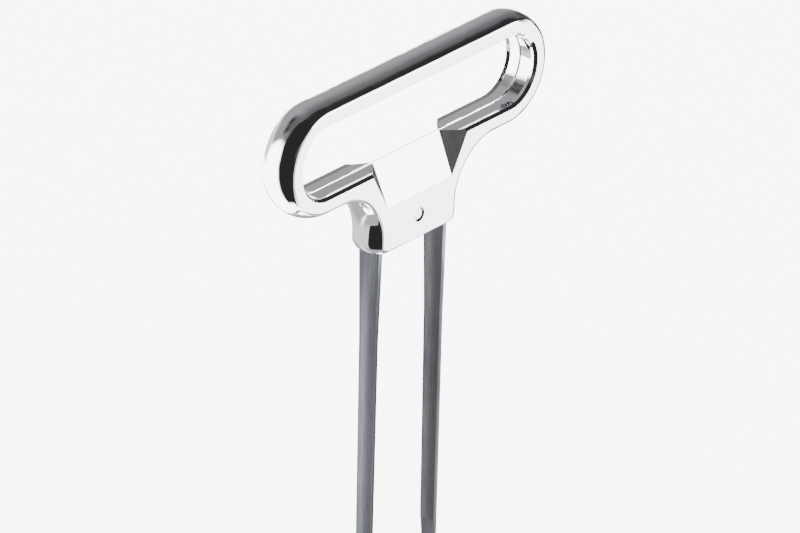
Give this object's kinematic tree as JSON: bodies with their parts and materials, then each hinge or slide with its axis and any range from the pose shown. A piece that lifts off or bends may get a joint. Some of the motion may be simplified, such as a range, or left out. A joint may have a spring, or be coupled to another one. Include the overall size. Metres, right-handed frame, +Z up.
{
  "type": "two-prong cork puller",
  "caption": "Chromed loop handle with a neck block and flat spring-steel prongs that slide down beside a cork, then twist and pull it out.",
  "frame": {"origin": "middle of the handle's length and depth, at the level of the long prong's tip", "axes": "+Z up from the prong tips to the finger loop, X along the loop, Y through the handle's depth"},
  "size_m": [0.08, 0.008, 0.1239],
  "materials": {
    "chromed_casting": "mirror-bright chrome plate over a smooth zinc casting",
    "rivet_steel": "bright plated rivet end",
    "spring_steel": "satin spring steel with a fine lengthwise grain"
  },
  "bodies": {
    "handle": {"handle": "chromed_casting", "cross_pin": "rivet_steel"},
    "long_prong": {"long_prong": "spring_steel"},
    "short_prong": {"short_prong": "spring_steel"}
  },
  "joints": [
    {"name": "long_prong_rock", "type": "hinge", "parent": "handle", "child": "long_prong", "pos_m": [0, 0, 0.091], "axis": [0, 1, 0], "range_deg": [-2, 1.5]},
    {"name": "short_prong_rock", "type": "hinge", "parent": "handle", "child": "short_prong", "pos_m": [0, 0, 0.091], "axis": [0, 1, 0], "range_deg": [-1.5, 2]}
  ]
}
